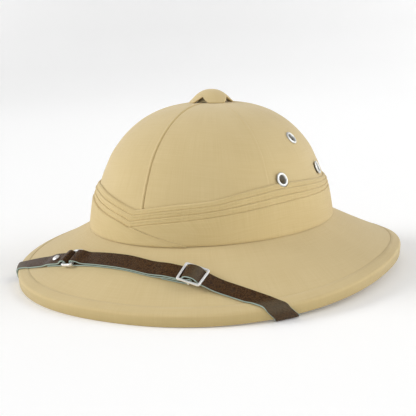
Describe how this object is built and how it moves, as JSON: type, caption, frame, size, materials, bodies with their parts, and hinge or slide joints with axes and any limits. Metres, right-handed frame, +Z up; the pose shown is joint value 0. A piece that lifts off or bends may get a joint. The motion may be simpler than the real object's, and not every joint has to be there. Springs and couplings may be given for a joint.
{
  "type": "pith helmet",
  "caption": "Sun helmet with a wide sloping brim, pleated cloth band, top vent cap, side eyelets and a leather chin strap worn over the brim.",
  "frame": {"origin": "middle of the brim in plan, at the level of the ground the rim stands on", "axes": "+Z up, -Y towards the front of the helmet, +X towards the wearer's left"},
  "size_m": [0.296, 0.3402, 0.1451],
  "materials": {
    "cotton_cloth": "matt",
    "band_cloth": "matt",
    "leather": "satin",
    "metal": "polished",
    "eyelet_metal": "satin"
  },
  "bodies": {
    "root": {"crown": "cotton_cloth", "brim": "cotton_cloth", "brim_binding": "cotton_cloth", "band_wrap_left": "band_cloth", "band_wrap_right": "band_cloth", "vent_cap": "cotton_cloth", "vent_collar": "cotton_cloth", "strap_left": "leather", "strap_right": "leather", "strap_ring": "metal", "strap_buckle": "metal", "strap_stud": "metal", "strap_rivet_left": "metal", "strap_rivet_right": "metal", "eyelet_left_top": "eyelet_metal", "eyelet_left_front": "eyelet_metal", "eyelet_left_back": "eyelet_metal", "eyelet_right_top": "eyelet_metal", "eyelet_right_front": "eyelet_metal", "eyelet_right_back": "eyelet_metal"}
  },
  "joints": []
}
